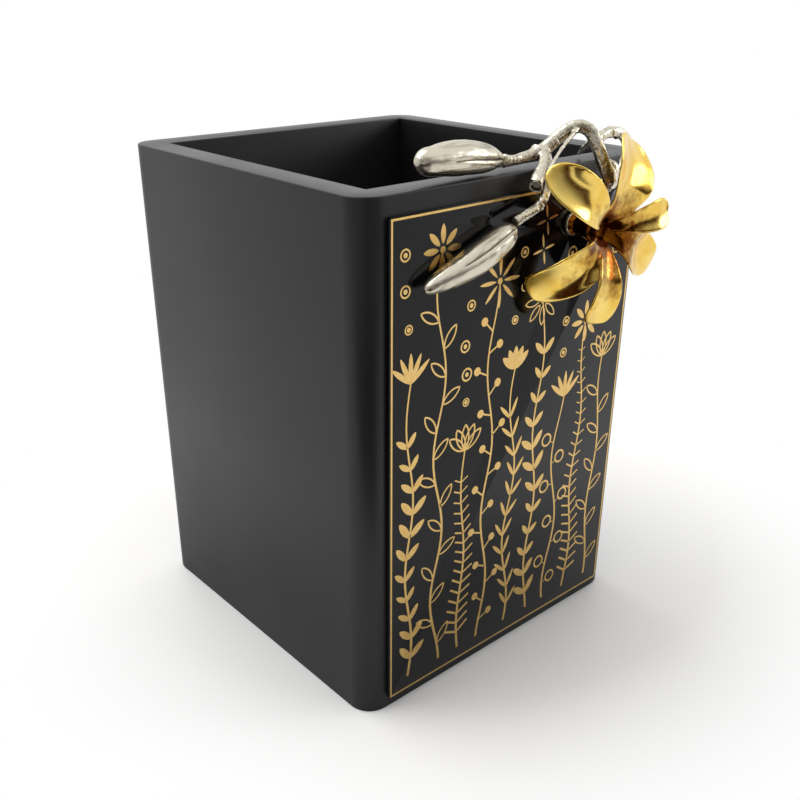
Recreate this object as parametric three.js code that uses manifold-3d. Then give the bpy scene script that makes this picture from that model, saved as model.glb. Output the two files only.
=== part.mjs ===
// Desk stationery holder: a square lacquered box with a glossy front plaque and,
// at its top right corner, a silver plated twig with two buds and a gold plated flower.
// Millimetres, +Z up, origin in the middle of the underside, front face towards -Y.
import * as THREE from 'three';
import { mergeVertices } from 'three/addons/utils/BufferGeometryUtils.js';
import Module from 'manifold-3d';

const wasm = await Module();
wasm.setup();

// Driving dimensions of the box
const boxWidth = 74;
const boxDepth = 74;
const boxHeight = 100;
const boardThickness = 6;
const baseThickness = 6;
const cornerRadius = 4.8;

// Driving dimensions of the front plaque and the film that holds it
const plaqueFlatInset = 0.2;
const plaqueTopMargin = 3.3;
const plaqueBottomMargin = 2.7;
const plaqueCornerRadius = 0.5;
const plaqueThickness = 0.8;
const filmThickness = 0.2;
const filmInset = 1;

// Driving dimensions of the fixing screw
const screwFromRightSide = 24.8;
const screwBelowRim = 10.5;
const screwDiameter = 2;
const screwHeadDiameter = 3.8;
const screwHeadDepth = 1.1;
const screwHeadSunk = 0.4;
const screwTipLength = 0.8;
const threadHoleRoof = 0.4;
const recessWidth = 0.5;
const recessReach = 2.1;
const recessDepth = 0.7;

// Driving dimensions of the twig, its eyelet and its buds. The twig is laid out on a grid.
const gridSpacing = 1;
const eyeletThickness = 1.0;
const eyeletDiameter = 4.4;
const stemRadius = 1.05;
const archRadius = 1.25;
const sideStemRadius = 0.85;
const loopRadius = 1.0;
const tendrilRadius = 0.38;
const prongRadius = 0.75;
const stubEndRadius = 1.2;
const upperCupRadius = 1.1;
const lowerCupRadius = 0.95;
const twigRidge = 0.08;
const upperBudRadius = 3.0;
const upperBudLength = 19.4;
const lowerBudRadius = 2.7;
const lowerBudLength = 21.2;
const budGrooveDepth = 0.5;
const upperGrooveTurn = -1.6;
const lowerGrooveTurn = -0.96;

// Driving dimensions of the flower
const flowerRadius = 20;
const calyxFootDiameter = 4.6;
const calyxWaistDiameter = 3.5;
const calyxHeight = 3.6;
const hubDiameter = 5.6;
const hubThickness = 1.2;
const petalThickness = 0.9;
const petalEdgeThickness = 0.5;
const petalRootRadius = 1.5;

// Clearances
const seatGap = 0.3;
const screwClearance = 0.2;
const threadClearance = 0.1;

// Values worked out from the driving dimensions
const plaqueStack = filmThickness + plaqueThickness;
const plaqueWidth = boxWidth - 2 * (cornerRadius + plaqueFlatInset);
const plaqueHeight = boxHeight - plaqueTopMargin - plaqueBottomMargin;
const screwX = boxWidth / 2 - screwFromRightSide;
const screwZ = boxHeight - screwBelowRim;
const screwHoleDiameter = screwDiameter + 2 * screwClearance;
const screwHeadFace = -(plaqueStack + boardThickness) + screwHeadSunk;
const threadHoleTop = calyxHeight - threadHoleRoof;

const lacquer = { color: 0x2b2b2d, roughness: 0.5, metalness: 0 };
const gloss = { color: 0x141416, roughness: 0.08, metalness: 0 };
const film = { color: 0xd9d6cc, roughness: 0.8, metalness: 0 };
const gold = { color: 0xd9a531, roughness: 0.16, metalness: 1 };
const silver = { color: 0xb9b4a8, roughness: 0.34, metalness: 1 };
const steel = { color: 0x9a9a9c, roughness: 0.35, metalness: 1 };

// A closed geometry as a solid that can be joined and cut
function solid(geometry) {
  const plain = geometry.clone();
  plain.deleteAttribute('normal');
  plain.deleteAttribute('uv');
  const merged = mergeVertices(plain, 1e-4);
  const vertProperties = new Float32Array(merged.attributes.position.array);
  const triVerts = new Uint32Array(merged.index.array);
  return new wasm.Manifold(new wasm.Mesh({ numProp: 3, vertProperties, triVerts }));
}

// A solid's surface as a geometry
function surface(body) {
  const mesh = body.getMesh();
  const geometry = new THREE.BufferGeometry();
  geometry.setAttribute('position', new THREE.BufferAttribute(new Float32Array(mesh.vertProperties), 3));
  geometry.setIndex(new THREE.BufferAttribute(new Uint32Array(mesh.triVerts), 1));
  geometry.computeVertexNormals();
  return geometry;
}

function piece(name, geometry, finish) {
  const mesh = new THREE.Mesh(geometry, new THREE.MeshStandardMaterial(finish));
  mesh.name = name;
  return mesh;
}

function roundedRectangle(width, height, radius) {
  const right = width / 2;
  const top = height / 2;
  const shape = new THREE.Shape();
  shape.moveTo(-right + radius, -top);
  shape.lineTo(right - radius, -top);
  shape.absarc(right - radius, -top + radius, radius, -Math.PI / 2, 0);
  shape.lineTo(right, top - radius);
  shape.absarc(right - radius, top - radius, radius, 0, Math.PI / 2);
  shape.lineTo(-right + radius, top);
  shape.absarc(-right + radius, top - radius, radius, Math.PI / 2, Math.PI);
  shape.lineTo(-right, -top + radius);
  shape.absarc(-right + radius, -top + radius, radius, Math.PI, 1.5 * Math.PI);
  return shape;
}

function extrude(shape, depth, curveSegments) {
  return new THREE.ExtrudeGeometry(shape, { depth, bevelEnabled: false, curveSegments });
}

function block(width, depth, height, x, y, z) {
  return new THREE.BoxGeometry(width, depth, height).translate(x, y, z);
}

// A cylinder along Z from one height to another
function cylinder(diameter, from, to, segments = 32) {
  const geometry = new THREE.CylinderGeometry(diameter / 2, diameter / 2, to - from, segments);
  return geometry.rotateX(Math.PI / 2).translate(0, 0, (from + to) / 2);
}

// A turned shape about Z from a profile of [radius, height] points
function turned(profile, segments = 32) {
  const points = profile.map(([radius, height]) => new THREE.Vector2(radius, height));
  return new THREE.LatheGeometry(points, segments).rotateX(Math.PI / 2);
}

// A closed body through rings of points, with a fan of triangles on each end
function loft(rings) {
  const size = rings[0].length;
  const positions = rings.flat();
  const index = [];
  for (let i = 0; i + 1 < rings.length; i += 1) {
    for (let j = 0; j < size; j += 1) {
      const a = i * size + j;
      const b = i * size + ((j + 1) % size);
      index.push(a, b, b + size, a, b + size, a + size);
    }
  }
  for (const [ring, first, turn] of [[rings[0], 0, 1], [rings.at(-1), (rings.length - 1) * size, 0]]) {
    const centre = new THREE.Vector3();
    ring.forEach((point) => centre.addScaledVector(point, 1 / size));
    positions.push(centre);
    for (let j = 0; j < size; j += 1) {
      const a = first + j;
      const b = first + ((j + 1) % size);
      index.push(...(turn ? [b, a, positions.length - 1] : [a, b, positions.length - 1]));
    }
  }
  const geometry = new THREE.BufferGeometry().setFromPoints(positions);
  geometry.setIndex(index);
  return geometry;
}

// A value read from an evenly spaced list, eased between its entries
function along(list, u) {
  const place = THREE.MathUtils.clamp(u, 0, 1) * (list.length - 1);
  const first = Math.min(Math.floor(place), list.length - 2);
  const t = place - first;
  return THREE.MathUtils.lerp(list[first], list[first + 1], t * t * (3 - 2 * t));
}

// A tapering shoot through stations of { at, radius }, with three soft ridges along it. Its
// rings lie one stride apart, in units of the greatest radius.
function shoot(stations, { sides = 12, stride = 1 } = {}) {
  const curve = new THREE.CatmullRomCurve3(stations.map((station) => station.at), false, 'centripetal');
  const radii = stations.map((station) => station.radius);
  const steps = Math.round(curve.getLength() / (stride * Math.max(...radii)));
  const frames = curve.computeFrenetFrames(steps, false);
  const rings = [];
  for (let i = 0; i <= steps; i += 1) {
    const u = i / steps;
    const centre = curve.getPointAt(u);
    const radius = along(radii, curve.getUtoTmapping(u));
    const ring = [];
    for (let j = 0; j < sides; j += 1) {
      const angle = (j / sides) * 2 * Math.PI;
      const reach = radius * (1 + twigRidge * Math.cos(3 * angle));
      const point = centre.clone();
      point.addScaledVector(frames.normals[i], reach * Math.cos(angle));
      point.addScaledVector(frames.binormals[i], reach * Math.sin(angle));
      ring.push(point);
    }
    rings.push(ring);
  }
  return loft(rings);
}

// Box boards

function boxBoards() {
  const outline = roundedRectangle(boxWidth, boxDepth, cornerRadius);
  const outer = solid(extrude(outline, boxHeight, 10));
  const innerWidth = boxWidth - 2 * boardThickness;
  const innerDepth = boxDepth - 2 * boardThickness;
  const middle = boxHeight / 2;
  const faceY = (boxDepth - boardThickness) / 2;
  const sideX = (boxWidth - boardThickness) / 2;
  const face = (y) => solid(block(boxWidth, boardThickness, boxHeight, 0, y, middle));
  const side = (x) => solid(block(boardThickness, innerDepth, boxHeight, x, 0, middle));

  const clearHole = cylinder(screwHoleDiameter, -boardThickness, boardThickness);
  const seatDepth = screwHeadSunk + screwHeadDepth + screwClearance;
  const seatRadius = screwHeadDiameter / 2 + screwClearance;
  const headSeat = turned([
    [0, -1],
    [seatRadius, -1],
    [seatRadius, screwHeadSunk + screwClearance],
    [screwHoleDiameter / 2, seatDepth],
    [0, seatDepth],
  ]);
  const bore = solid(clearHole.clone().translate(0, 0, boardThickness / 2)).add(solid(headSeat));
  const drill = bore.rotate([90, 0, 0]).translate([screwX, -boxDepth / 2 + boardThickness, screwZ]);

  return [
    piece('front_wall', surface(outer.intersect(face(-faceY)).subtract(drill)), lacquer),
    piece('back_wall', surface(outer.intersect(face(faceY))), lacquer),
    piece('left_wall', surface(outer.intersect(side(-sideX))), lacquer),
    piece('right_wall', surface(outer.intersect(side(sideX))), lacquer),
    piece('base_board', block(innerWidth, innerDepth, baseThickness, 0, 0, baseThickness / 2), lacquer),
  ];
}

// Front plaque, on a film of adhesive

function plaqueSheet(width, height, thickness) {
  const shape = roundedRectangle(width, height, plaqueCornerRadius);
  const sheetMiddle = plaqueBottomMargin + plaqueHeight / 2;
  const hole = new THREE.Path();
  hole.absarc(screwX, screwZ - sheetMiddle, screwHoleDiameter / 2, 0, 2 * Math.PI, true);
  shape.holes.push(hole);
  return extrude(shape, thickness, 8).rotateX(Math.PI / 2).translate(0, 0, sheetMiddle);
}

function plaquePieces() {
  const filmSheet = plaqueSheet(plaqueWidth - 2 * filmInset, plaqueHeight - 2 * filmInset, filmThickness);
  const adhesive = piece('plaque_adhesive', filmSheet, film);
  adhesive.position.y = -boxDepth / 2;
  const plaque = piece('front_plaque', plaqueSheet(plaqueWidth, plaqueHeight, plaqueThickness), gloss);
  plaque.position.y = -boxDepth / 2 - filmThickness;
  return [adhesive, plaque];
}

// The ornament is laid out from the screw's axis on the plaque's face: x to the right,
// y up and z forwards, away from the plaque.
const rimUp = screwBelowRim;
const rimCentre = -(plaqueStack + boardThickness / 2);

// A place over the middle of the front rim, and a place in front of the plaque, in grid
// steps to the right, above the rim and ahead
const onGrid = (right, above, ahead) => new THREE.Vector3(right, above, ahead).multiplyScalar(gridSpacing);
const overRim = (...steps) => onGrid(...steps).add(new THREE.Vector3(0, rimUp, rimCentre));
const beforePlaque = (...steps) => onGrid(...steps).add(new THREE.Vector3(0, rimUp, 0));

function branch() {
  const upperCup = overRim(-15.9, 2.05, 0.6);
  const fork = overRim(-5.7, 2.7, 1.0);
  const shoulder = beforePlaque(3.2, 3.3, 2.0);
  const heel = beforePlaque(5.6, -3.1, 3.7);
  const eyeletEdge = new THREE.Vector3(0.28 * eyeletDiameter, 0.33 * eyeletDiameter, eyeletThickness / 2);

  const stem = shoot([
    { at: upperCup, radius: upperCupRadius },
    { at: overRim(-14.9, 1.8, 0.5), radius: upperCupRadius },
    { at: overRim(-13.5, 1.65, 0.4), radius: 0.85 * stemRadius },
    { at: overRim(-9.9, 1.9, 0.5), radius: stemRadius },
    { at: overRim(-7.9, 2.2, 0.7), radius: 1.08 * stemRadius },
    { at: overRim(-7.0, 2.4, 0.8), radius: 1.38 * stemRadius },
    { at: fork, radius: 1.08 * archRadius },
    { at: overRim(-3.1, 4.6, 1.6), radius: archRadius },
    { at: overRim(-0.8, 6.0, 2.3), radius: archRadius },
    { at: overRim(1.2, 6.6, 3.3), radius: archRadius },
    { at: overRim(2.7, 5.7, 4.5), radius: archRadius },
    { at: shoulder, radius: archRadius },
    { at: beforePlaque(3.9, 0.3, 3.2), radius: archRadius },
    { at: heel, radius: 1.1 * archRadius },
    { at: beforePlaque(4.9, -5.2, 1.9), radius: 0.8 * archRadius },
    { at: eyeletEdge, radius: 0.4 * eyeletThickness },
  ]);
  const loop = shoot([
    { at: beforePlaque(3.1, 3.6, 1.8), radius: 0.8 * loopRadius },
    { at: beforePlaque(5.2, 4.9, 1.5), radius: loopRadius },
    { at: beforePlaque(8.1, 5.2, 1.5), radius: loopRadius },
    { at: beforePlaque(11.2, 4.2, 1.6), radius: loopRadius },
    { at: beforePlaque(12.7, 1.9, 1.8), radius: loopRadius },
    { at: beforePlaque(11.6, -0.4, 2.2), radius: loopRadius },
    { at: beforePlaque(9.4, -2.2, 2.8), radius: loopRadius },
    { at: beforePlaque(6.6, -4.2, 3.3), radius: 0.8 * loopRadius },
  ]);
  const web = shoot([
    { at: beforePlaque(5.9, 0.3, 2.7), radius: 0.7 * loopRadius },
    { at: beforePlaque(7.0, -1.2, 2.8), radius: 1.5 * loopRadius },
    { at: beforePlaque(6.9, -2.9, 3.1), radius: 1.3 * loopRadius },
    { at: beforePlaque(6.2, -4.6, 3.3), radius: 0.7 * loopRadius },
  ]);
  const prong = shoot([
    { at: beforePlaque(3.1, 3.9, 0.9), radius: prongRadius },
    { at: overRim(4.9, 2.3, 2.0), radius: 0.8 * prongRadius },
    { at: overRim(6.2, 0.6, -0.5), radius: 0.45 * prongRadius },
  ], { sides: 8 });
  const tendril = shoot([
    { at: overRim(0.4, 6.1, 3.5), radius: 1.4 * tendrilRadius },
    { at: beforePlaque(-2.5, 5.1, 0.4), radius: 1.2 * tendrilRadius },
    { at: beforePlaque(-6.9, 3.5, 2.0), radius: tendrilRadius },
    { at: beforePlaque(-11.2, 2.0, 4.0), radius: tendrilRadius },
    { at: beforePlaque(-13.7, 0.9, 5.2), radius: tendrilRadius },
  ], { sides: 8, stride: 3.6 });
  const stub = shoot([
    { at: overRim(-6.1, 2.4, 1.4), radius: stemRadius },
    { at: beforePlaque(-9.1, 1.1, 0.2), radius: 0.9 * stemRadius },
    { at: beforePlaque(-11.7, -0.3, 1.5), radius: stemRadius },
    { at: beforePlaque(-13.1, -1.1, 2.3), radius: stubEndRadius },
    { at: beforePlaque(-13.6, -1.5, 2.5), radius: stubEndRadius },
  ]);
  const sideStem = shoot([
    { at: overRim(-5.9, 2.2, 1.8), radius: sideStemRadius },
    { at: beforePlaque(-8.0, 0.7, 0.4), radius: sideStemRadius },
    { at: beforePlaque(-10.2, -1.2, 2.2), radius: sideStemRadius },
    { at: beforePlaque(-11.5, -3.4, 3.0), radius: sideStemRadius },
    { at: beforePlaque(-12.9, -5.0, 3.2), radius: sideStemRadius },
    { at: beforePlaque(-15.2, -5.9, 3.2), radius: sideStemRadius },
    { at: beforePlaque(-17.5, -6.6, 3.2), radius: sideStemRadius },
    { at: beforePlaque(-19.1, -7.1, 3.2), radius: lowerCupRadius },
  ]);
  const eyelet = solid(cylinder(eyeletDiameter, 0, eyeletThickness));
  const hole = solid(cylinder(screwHoleDiameter, -eyeletThickness, 2 * eyeletThickness));
  const shoots = [stem, loop, web, prong, tendril, stub, sideStem].map(solid);
  const casting = shoots.reduce((sum, next) => sum.add(next), eyelet).subtract(hole);
  return piece('branch', surface(casting), silver);
}

// A closed bud on a bent spine. Its outline is a curve through [share of length, share of
// radius], and three folded sepals meet in three lengthwise grooves that fade to the tip.
function bud(spine, radius, outline, grooveTurn) {
  const curve = new THREE.CatmullRomCurve3(spine, false, 'centripetal');
  const profile = new THREE.SplineCurve(outline.map(([share, reach]) => new THREE.Vector2(share, reach)));
  const axis = spine.at(-1).clone().sub(spine[0]).normalize();
  const across = new THREE.Vector3(0, 1, 0).addScaledVector(axis, -axis.y).normalize();
  const front = new THREE.Vector3().crossVectors(axis, across);
  const grooveEnd = 0.74;
  const rings = [];
  const steps = 2 * (outline.length - 1);
  for (let i = 0; i <= steps; i += 1) {
    const station = profile.getPoint(i / steps);
    const share = THREE.MathUtils.clamp(station.x, 0, 1);
    const reach = radius * station.y;
    const centre = curve.getPointAt(share);
    const grooveDepth = budGrooveDepth * Math.sin(Math.PI * Math.min(1, share / grooveEnd) ** 0.7);
    const ring = [];
    for (let third = 0; third < 3; third += 1) {
      for (const part of [0, 0.09, 0.28, 0.5, 0.72, 0.91]) {
        const angle = grooveTurn + ((third + part) / 3) * 2 * Math.PI;
        const distance = part === 0 ? Math.max(reach - grooveDepth, 0.6 * reach) : reach;
        const point = centre.clone();
        point.addScaledVector(across, distance * Math.cos(angle));
        point.addScaledVector(front, distance * Math.sin(angle));
        ring.push(point);
      }
    }
    rings.push(ring);
  }
  return loft(rings);
}

function buds() {
  const upperSeat = new THREE.Vector3(0, upperBudRadius + seatGap, 0);
  const lowerSeat = new THREE.Vector3(0, 0, lowerBudRadius + seatGap);
  const leftwards = (length) => new THREE.Vector3(-length, 0, 0);
  const upperSpine = [
    overRim(-16.4, -1.0, 0.6).add(upperSeat),
    overRim(-16.4, 0.15, 0.6).add(upperSeat).add(leftwards(0.5 * upperBudLength)),
    overRim(-16.4, 0.3, 0.6).add(upperSeat).add(leftwards(upperBudLength)),
  ];
  const upperOutline = [
    [0, 0.36], [0.04, 0.46], [0.08, 0.6], [0.13, 0.73], [0.19, 0.83], [0.34, 0.95],
    [0.55, 1], [0.77, 0.87], [0.9, 0.63], [0.965, 0.4], [1, 0.2],
  ];
  const lowerSpine = [
    beforePlaque(-19.3, -8.3, 0.2).add(lowerSeat),
    beforePlaque(-19.3, -12.2, 0.2).add(lowerSeat).add(leftwards(0.45 * lowerBudLength)),
    beforePlaque(-19.3, -15.2, -0.4).add(lowerSeat).add(leftwards(0.94 * lowerBudLength)),
  ];
  const lowerOutline = [
    [0, 0.4], [0.03, 0.58], [0.09, 0.78], [0.17, 0.89], [0.4, 1],
    [0.62, 0.89], [0.8, 0.73], [0.92, 0.54], [0.98, 0.34], [1, 0.16],
  ];
  const upper = bud(upperSpine, upperBudRadius, upperOutline, upperGrooveTurn);
  const lower = bud(lowerSpine, lowerBudRadius, lowerOutline, lowerGrooveTurn);
  return [piece('upper_bud', upper, silver), piece('lower_bud', lower, silver)];
}

// Each petal's own form: the angle it points to from the right, its twist, and as shares of
// the flower's radius its reach, the rise of its outer crown and of its tip, and half its width
const petals = [
  { angle: 142, twist: 2, reach: 0.975, crown: 0.27, tip: 0.065, halfWidth: 0.195 },
  { angle: 67, twist: 6, reach: 0.835, crown: 0.11, tip: 0.05, halfWidth: 0.31 },
  { angle: 9, twist: -20, reach: 0.735, crown: 0.145, tip: 0.235, halfWidth: 0.145 },
  { angle: -26, twist: 9, reach: 1.18, crown: -0.05, tip: -0.11, halfWidth: 0.23 },
  { angle: -102, twist: 2, reach: 0.845, crown: 0.21, tip: 0.18, halfWidth: 0.185 },
  { angle: -145, twist: 10, reach: 0.82, crown: 0.15, tip: -0.23, halfWidth: 0.215 },
];

// A petal rises out of the throat, bends over and ends in a round spoon-shaped tip
function petal({ angle, twist, reach, crown, tip, halfWidth }) {
  const widest = 0.62;
  const rootWidth = 0.34;
  const tipWidth = 0.62;
  const tipPower = 2.2;
  const cup = 0.25;
  const rows = 14;
  const columns = 8;
  const share = (out, up) => new THREE.Vector2(out, up).multiplyScalar(flowerRadius);
  const root = new THREE.Vector2(petalRootRadius, 0);
  const midrib = new THREE.CubicBezierCurve(root, share(0.23, 0.425), share(0.715, crown), share(reach, tip));
  const tipEdge = (v) => widest + (1 - widest) * (1 - (tipWidth * v) ** 2) ** (1 / tipPower);
  const widthAt = (s) => {
    if (s < widest) return THREE.MathUtils.lerp(rootWidth, 1, THREE.MathUtils.smoothstep(s, 0, widest));
    return Math.sqrt(Math.max(0, 1 - ((s - widest) / (1 - widest)) ** tipPower));
  };
  const place = (row, column) => {
    const v = (2 * column) / columns - 1;
    const s = (row / rows) * THREE.MathUtils.lerp(tipEdge(1), tipEdge(v), row / rows);
    const width = halfWidth * flowerRadius * widthAt((row / rows) * tipEdge(1));
    const spine = midrib.getPoint(s);
    const slope = midrib.getTangent(s);
    const turn = THREE.MathUtils.degToRad(twist) * s;
    const side = v * width * Math.cos(turn);
    const lift = cup * width * v * v + v * width * Math.sin(turn);
    const radial = spine.x - slope.y * lift;
    return new THREE.Vector3(radial, side, spine.y + slope.x * lift);
  };
  const middle = [];
  for (let row = 0; row <= rows; row += 1) {
    middle.push(Array.from({ length: columns + 1 }, (_, column) => place(row, column)));
  }
  const normalAt = (row, column) => {
    const ahead = middle[Math.min(row + 1, rows)][column].clone();
    ahead.sub(middle[Math.max(row - 1, 0)][column]);
    const over = middle[row][Math.min(column + 1, columns)].clone();
    over.sub(middle[row][Math.max(column - 1, 0)]);
    return ahead.cross(over).normalize();
  };
  const half = (column) => {
    const v = (2 * column) / columns - 1;
    return THREE.MathUtils.lerp(petalThickness, petalEdgeThickness, v * v) / 2;
  };
  const rings = middle.map((line, row) => {
    const upper = line.map((p, c) => p.clone().addScaledVector(normalAt(row, c), half(c)));
    const lower = line.map((p, c) => p.clone().addScaledVector(normalAt(row, c), -half(c)));
    return [...lower, ...upper.reverse()];
  });
  return petalShell(rings, columns).rotateZ(THREE.MathUtils.degToRad(angle));
}

// The rings of a petal run round its section: closed at the root and tip by strips
function petalShell(rings, columns) {
  const size = rings[0].length;
  const index = [];
  for (let i = 0; i + 1 < rings.length; i += 1) {
    for (let j = 0; j < size; j += 1) {
      const a = i * size + j;
      const b = i * size + ((j + 1) % size);
      index.push(a, b, b + size, a, b + size, a + size);
    }
  }
  const last = (rings.length - 1) * size;
  for (let c = 0; c < columns; c += 1) {
    const opposite = size - 1 - c;
    index.push(c + 1, c, opposite, c + 1, opposite, opposite - 1);
    index.push(last + c, last + c + 1, last + opposite, last + c + 1, last + opposite - 1, last + opposite);
  }
  const geometry = new THREE.BufferGeometry().setFromPoints(rings.flat());
  geometry.setIndex(index);
  return geometry;
}

function flower() {
  const threadRadius = screwDiameter / 2 + threadClearance;
  const flare = new THREE.SplineCurve([
    new THREE.Vector2(calyxFootDiameter / 2, 0),
    new THREE.Vector2(calyxWaistDiameter / 2, 0.35 * calyxHeight),
    new THREE.Vector2(hubDiameter / 2, calyxHeight + hubThickness),
  ]);
  const core = turned([
    [0, threadHoleTop],
    [threadRadius, threadHoleTop],
    [threadRadius, 0],
    ...flare.getPoints(8).map((point) => [point.x, point.y]),
    [0.4 * hubDiameter, calyxHeight + 1.6 * hubThickness],
    [0.15 * hubDiameter, calyxHeight + hubThickness],
    [0, calyxHeight + hubThickness],
  ]);
  const throatHeight = calyxHeight + hubThickness - petalThickness / 2;
  const casting = petals
    .map((form) => solid(petal(form).translate(0, 0, throatHeight)))
    .reduce((sum, next) => sum.add(next), solid(core));
  const mesh = piece('flower', surface(casting), gold);
  mesh.position.z = eyeletThickness;
  return mesh;
}

// Countersunk screw from inside the box, through wall, plaque and eyelet into the flower
function screw() {
  const shank = screwDiameter / 2;
  const tipEnd = eyeletThickness + threadHoleTop - seatGap;
  const length = tipEnd - screwHeadFace;
  const body = turned([
    [0, 0],
    [screwHeadDiameter / 2, 0],
    [shank, screwHeadDepth],
    [shank, length - screwTipLength],
    [0.6 * shank, length],
    [0, length],
  ]);
  const slot = (width, height) => solid(block(width, height, 2 * recessDepth, 0, 0, 0));
  const recess = slot(recessReach, recessWidth).add(slot(recessWidth, recessReach));
  const mesh = piece('fixing_screw', surface(solid(body).subtract(recess)), steel);
  mesh.position.z = screwHeadFace;
  return mesh;
}

const ornament = new THREE.Group();
ornament.add(branch(), ...buds(), flower(), screw());
ornament.rotation.x = Math.PI / 2;
ornament.position.set(screwX, -boxDepth / 2 - plaqueStack, screwZ);

const holder = new THREE.Group();
holder.add(...boxBoards(), ...plaquePieces(), ornament);

export default holder;
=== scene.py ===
"""Desk stationery holder: a black lacquered box with a glossy printed plaque and a plated twig and flower."""

import math
import random

import bmesh
import bpy
from mathutils import Matrix, Vector


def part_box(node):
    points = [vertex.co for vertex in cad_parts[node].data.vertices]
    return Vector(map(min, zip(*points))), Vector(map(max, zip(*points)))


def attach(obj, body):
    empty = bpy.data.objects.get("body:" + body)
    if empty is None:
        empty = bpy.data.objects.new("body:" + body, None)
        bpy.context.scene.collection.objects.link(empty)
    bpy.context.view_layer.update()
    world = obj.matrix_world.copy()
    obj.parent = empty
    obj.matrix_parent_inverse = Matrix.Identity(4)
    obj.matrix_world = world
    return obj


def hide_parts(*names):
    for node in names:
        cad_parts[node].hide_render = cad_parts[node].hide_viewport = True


bl_info = {
    "name": "Stationery holder",
    "version": (1, 0, 0),
    "blender": (4, 5, 0),
    "location": "View3D > Sidebar > Holder",
    "description": "Builds the finished surfaces of a desk stationery holder",
    "category": "Object",
}

MM = 0.001
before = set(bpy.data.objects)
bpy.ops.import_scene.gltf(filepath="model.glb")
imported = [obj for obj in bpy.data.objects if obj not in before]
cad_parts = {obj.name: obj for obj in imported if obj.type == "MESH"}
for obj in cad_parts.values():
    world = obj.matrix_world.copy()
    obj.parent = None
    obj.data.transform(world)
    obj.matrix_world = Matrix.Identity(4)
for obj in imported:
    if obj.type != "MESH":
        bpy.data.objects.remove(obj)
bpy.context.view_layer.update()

# Places read from the solids
BOX_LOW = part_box("front_wall")[0]
BOX_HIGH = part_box("back_wall")[1]
INNER_LOW, INNER_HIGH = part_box("base_board")
PLAQUE_LOW, PLAQUE_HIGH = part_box("front_plaque")
SCREW_LOW, SCREW_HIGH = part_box("fixing_screw")
SCREW_MIDDLE = (SCREW_LOW + SCREW_HIGH) / 2

# Two levels closer than TOUCH count as one, and so do two corners of a solid's mesh closer than WELD
TOUCH = 0.01 * MM
WELD = 0.002 * MM

# The room around the screw's head in its seat, the depths of the seat and of the straight mouth behind it,
# and the radius of the seat's narrow end
SEAT_ROOM = 0.2 * MM
SEAT_DEPTH = 1.3 * MM
MOUTH_DEPTH = 1.2 * MM
SEAT_END = 1.2 * MM

# The polished edge around the plaque's face
PLAQUE_EDGE = 0.1 * MM

# The share of red, green and blue in the plating where it is deeper
DEEPER_GOLD = (0.9, 0.8, 0.55, 1.0)

# The painted shade of the flower's throat, a brown darkening of its hollow: its middle, how unevenly it ends,
# and where it starts to fade and is gone
THROAT_SHADE_MIDDLE = (SCREW_MIDDLE.x + 0.8 * MM, SCREW_LOW.y - 0.8 * MM, SCREW_MIDDLE.z - 2.8 * MM)
THROAT_SHADE_UNEVEN = 2.6 * MM
THROAT_SHADE_START, THROAT_SHADE_END = 6.4 * MM, 12.2 * MM

# The floor's shadow, in metres: its middle on the table, and where it starts to fade and is gone. Then how much
# painted shade darkens the floor as gloss sees it close to the object, and where that starts to fade and is
# gone.
SHADOW_MIDDLE = (0.025, 0.015, 0.0)
SHADOW_START, SHADOW_END = 0.076, 0.118
REFLECTED_SHADE_SHARE = 0.52
REFLECTED_SHADE_START, REFLECTED_SHADE_END = 0.05, 0.15

# The numbers of a Mix node's sockets for colours, and the middle range in which most of a noise lies
SHARE, FIRST, SECOND = 0, 6, 7
MOST = {"From Min": 0.3, "From Max": 0.7}


def linear(code):
    """An sRGB hex colour such as "2a2a2c" as linear red, green, blue and alpha."""
    channels = [int(code[i : i + 2], 16) / 255 for i in (0, 2, 4)]
    straight = [c / 12.92 if c <= 0.04045 else ((c + 0.055) / 1.055) ** 2.4 for c in channels]
    return (*straight, 1.0)


class HolderSizes(bpy.types.PropertyGroup):
    """Sizes of the finished surfaces that a user would change."""

    corner_radius: bpy.props.FloatProperty(
        name="Corner radius", description="Radius of the box's upright corners", default=4.8 * MM,
        unit="LENGTH",
    )
    edge_softness: bpy.props.FloatProperty(
        name="Edge softness", description="Width of the sanded edges under the lacquer", default=0.26 * MM,
        unit="LENGTH",
    )
    print_thickness: bpy.props.FloatProperty(
        name="Print thickness", description="Thickness of the gold print", default=0.03 * MM, unit="LENGTH"
    )
    border_inset: bpy.props.FloatProperty(
        name="Border inset", description="From the plaque's edge to the gold border", default=0.14 * MM,
        unit="LENGTH",
    )
    border_width: bpy.props.FloatProperty(
        name="Border width", description="Width of the gold border line", default=0.38 * MM, unit="LENGTH"
    )


class HolderColours(bpy.types.PropertyGroup):
    """Colours of the finishes."""

    lacquer: bpy.props.FloatVectorProperty(
        name="Lacquer", description="Black satin lacquer", subtype="COLOR", size=4, default=linear("161618")
    )
    plaque: bpy.props.FloatVectorProperty(
        name="Plaque", description="Black acrylic sheet", subtype="COLOR", size=4, default=linear("08080a")
    )
    gold: bpy.props.FloatVectorProperty(
        name="Gold", description="Gold plating", subtype="COLOR", size=4, default=linear("f6d676")
    )
    silver: bpy.props.FloatVectorProperty(
        name="Silver", description="Silver plating", subtype="COLOR", size=4, default=linear("d6cfbd")
    )
    floor: bpy.props.FloatVectorProperty(
        name="Floor", description="Pale floor", subtype="COLOR", size=4, default=linear("eae9e8")
    )


def sizes():
    """The sizes as the user has set them."""
    return bpy.context.scene.holder_sizes


def colours():
    """The colours as the user has set them."""
    return bpy.context.scene.holder_colours


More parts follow.
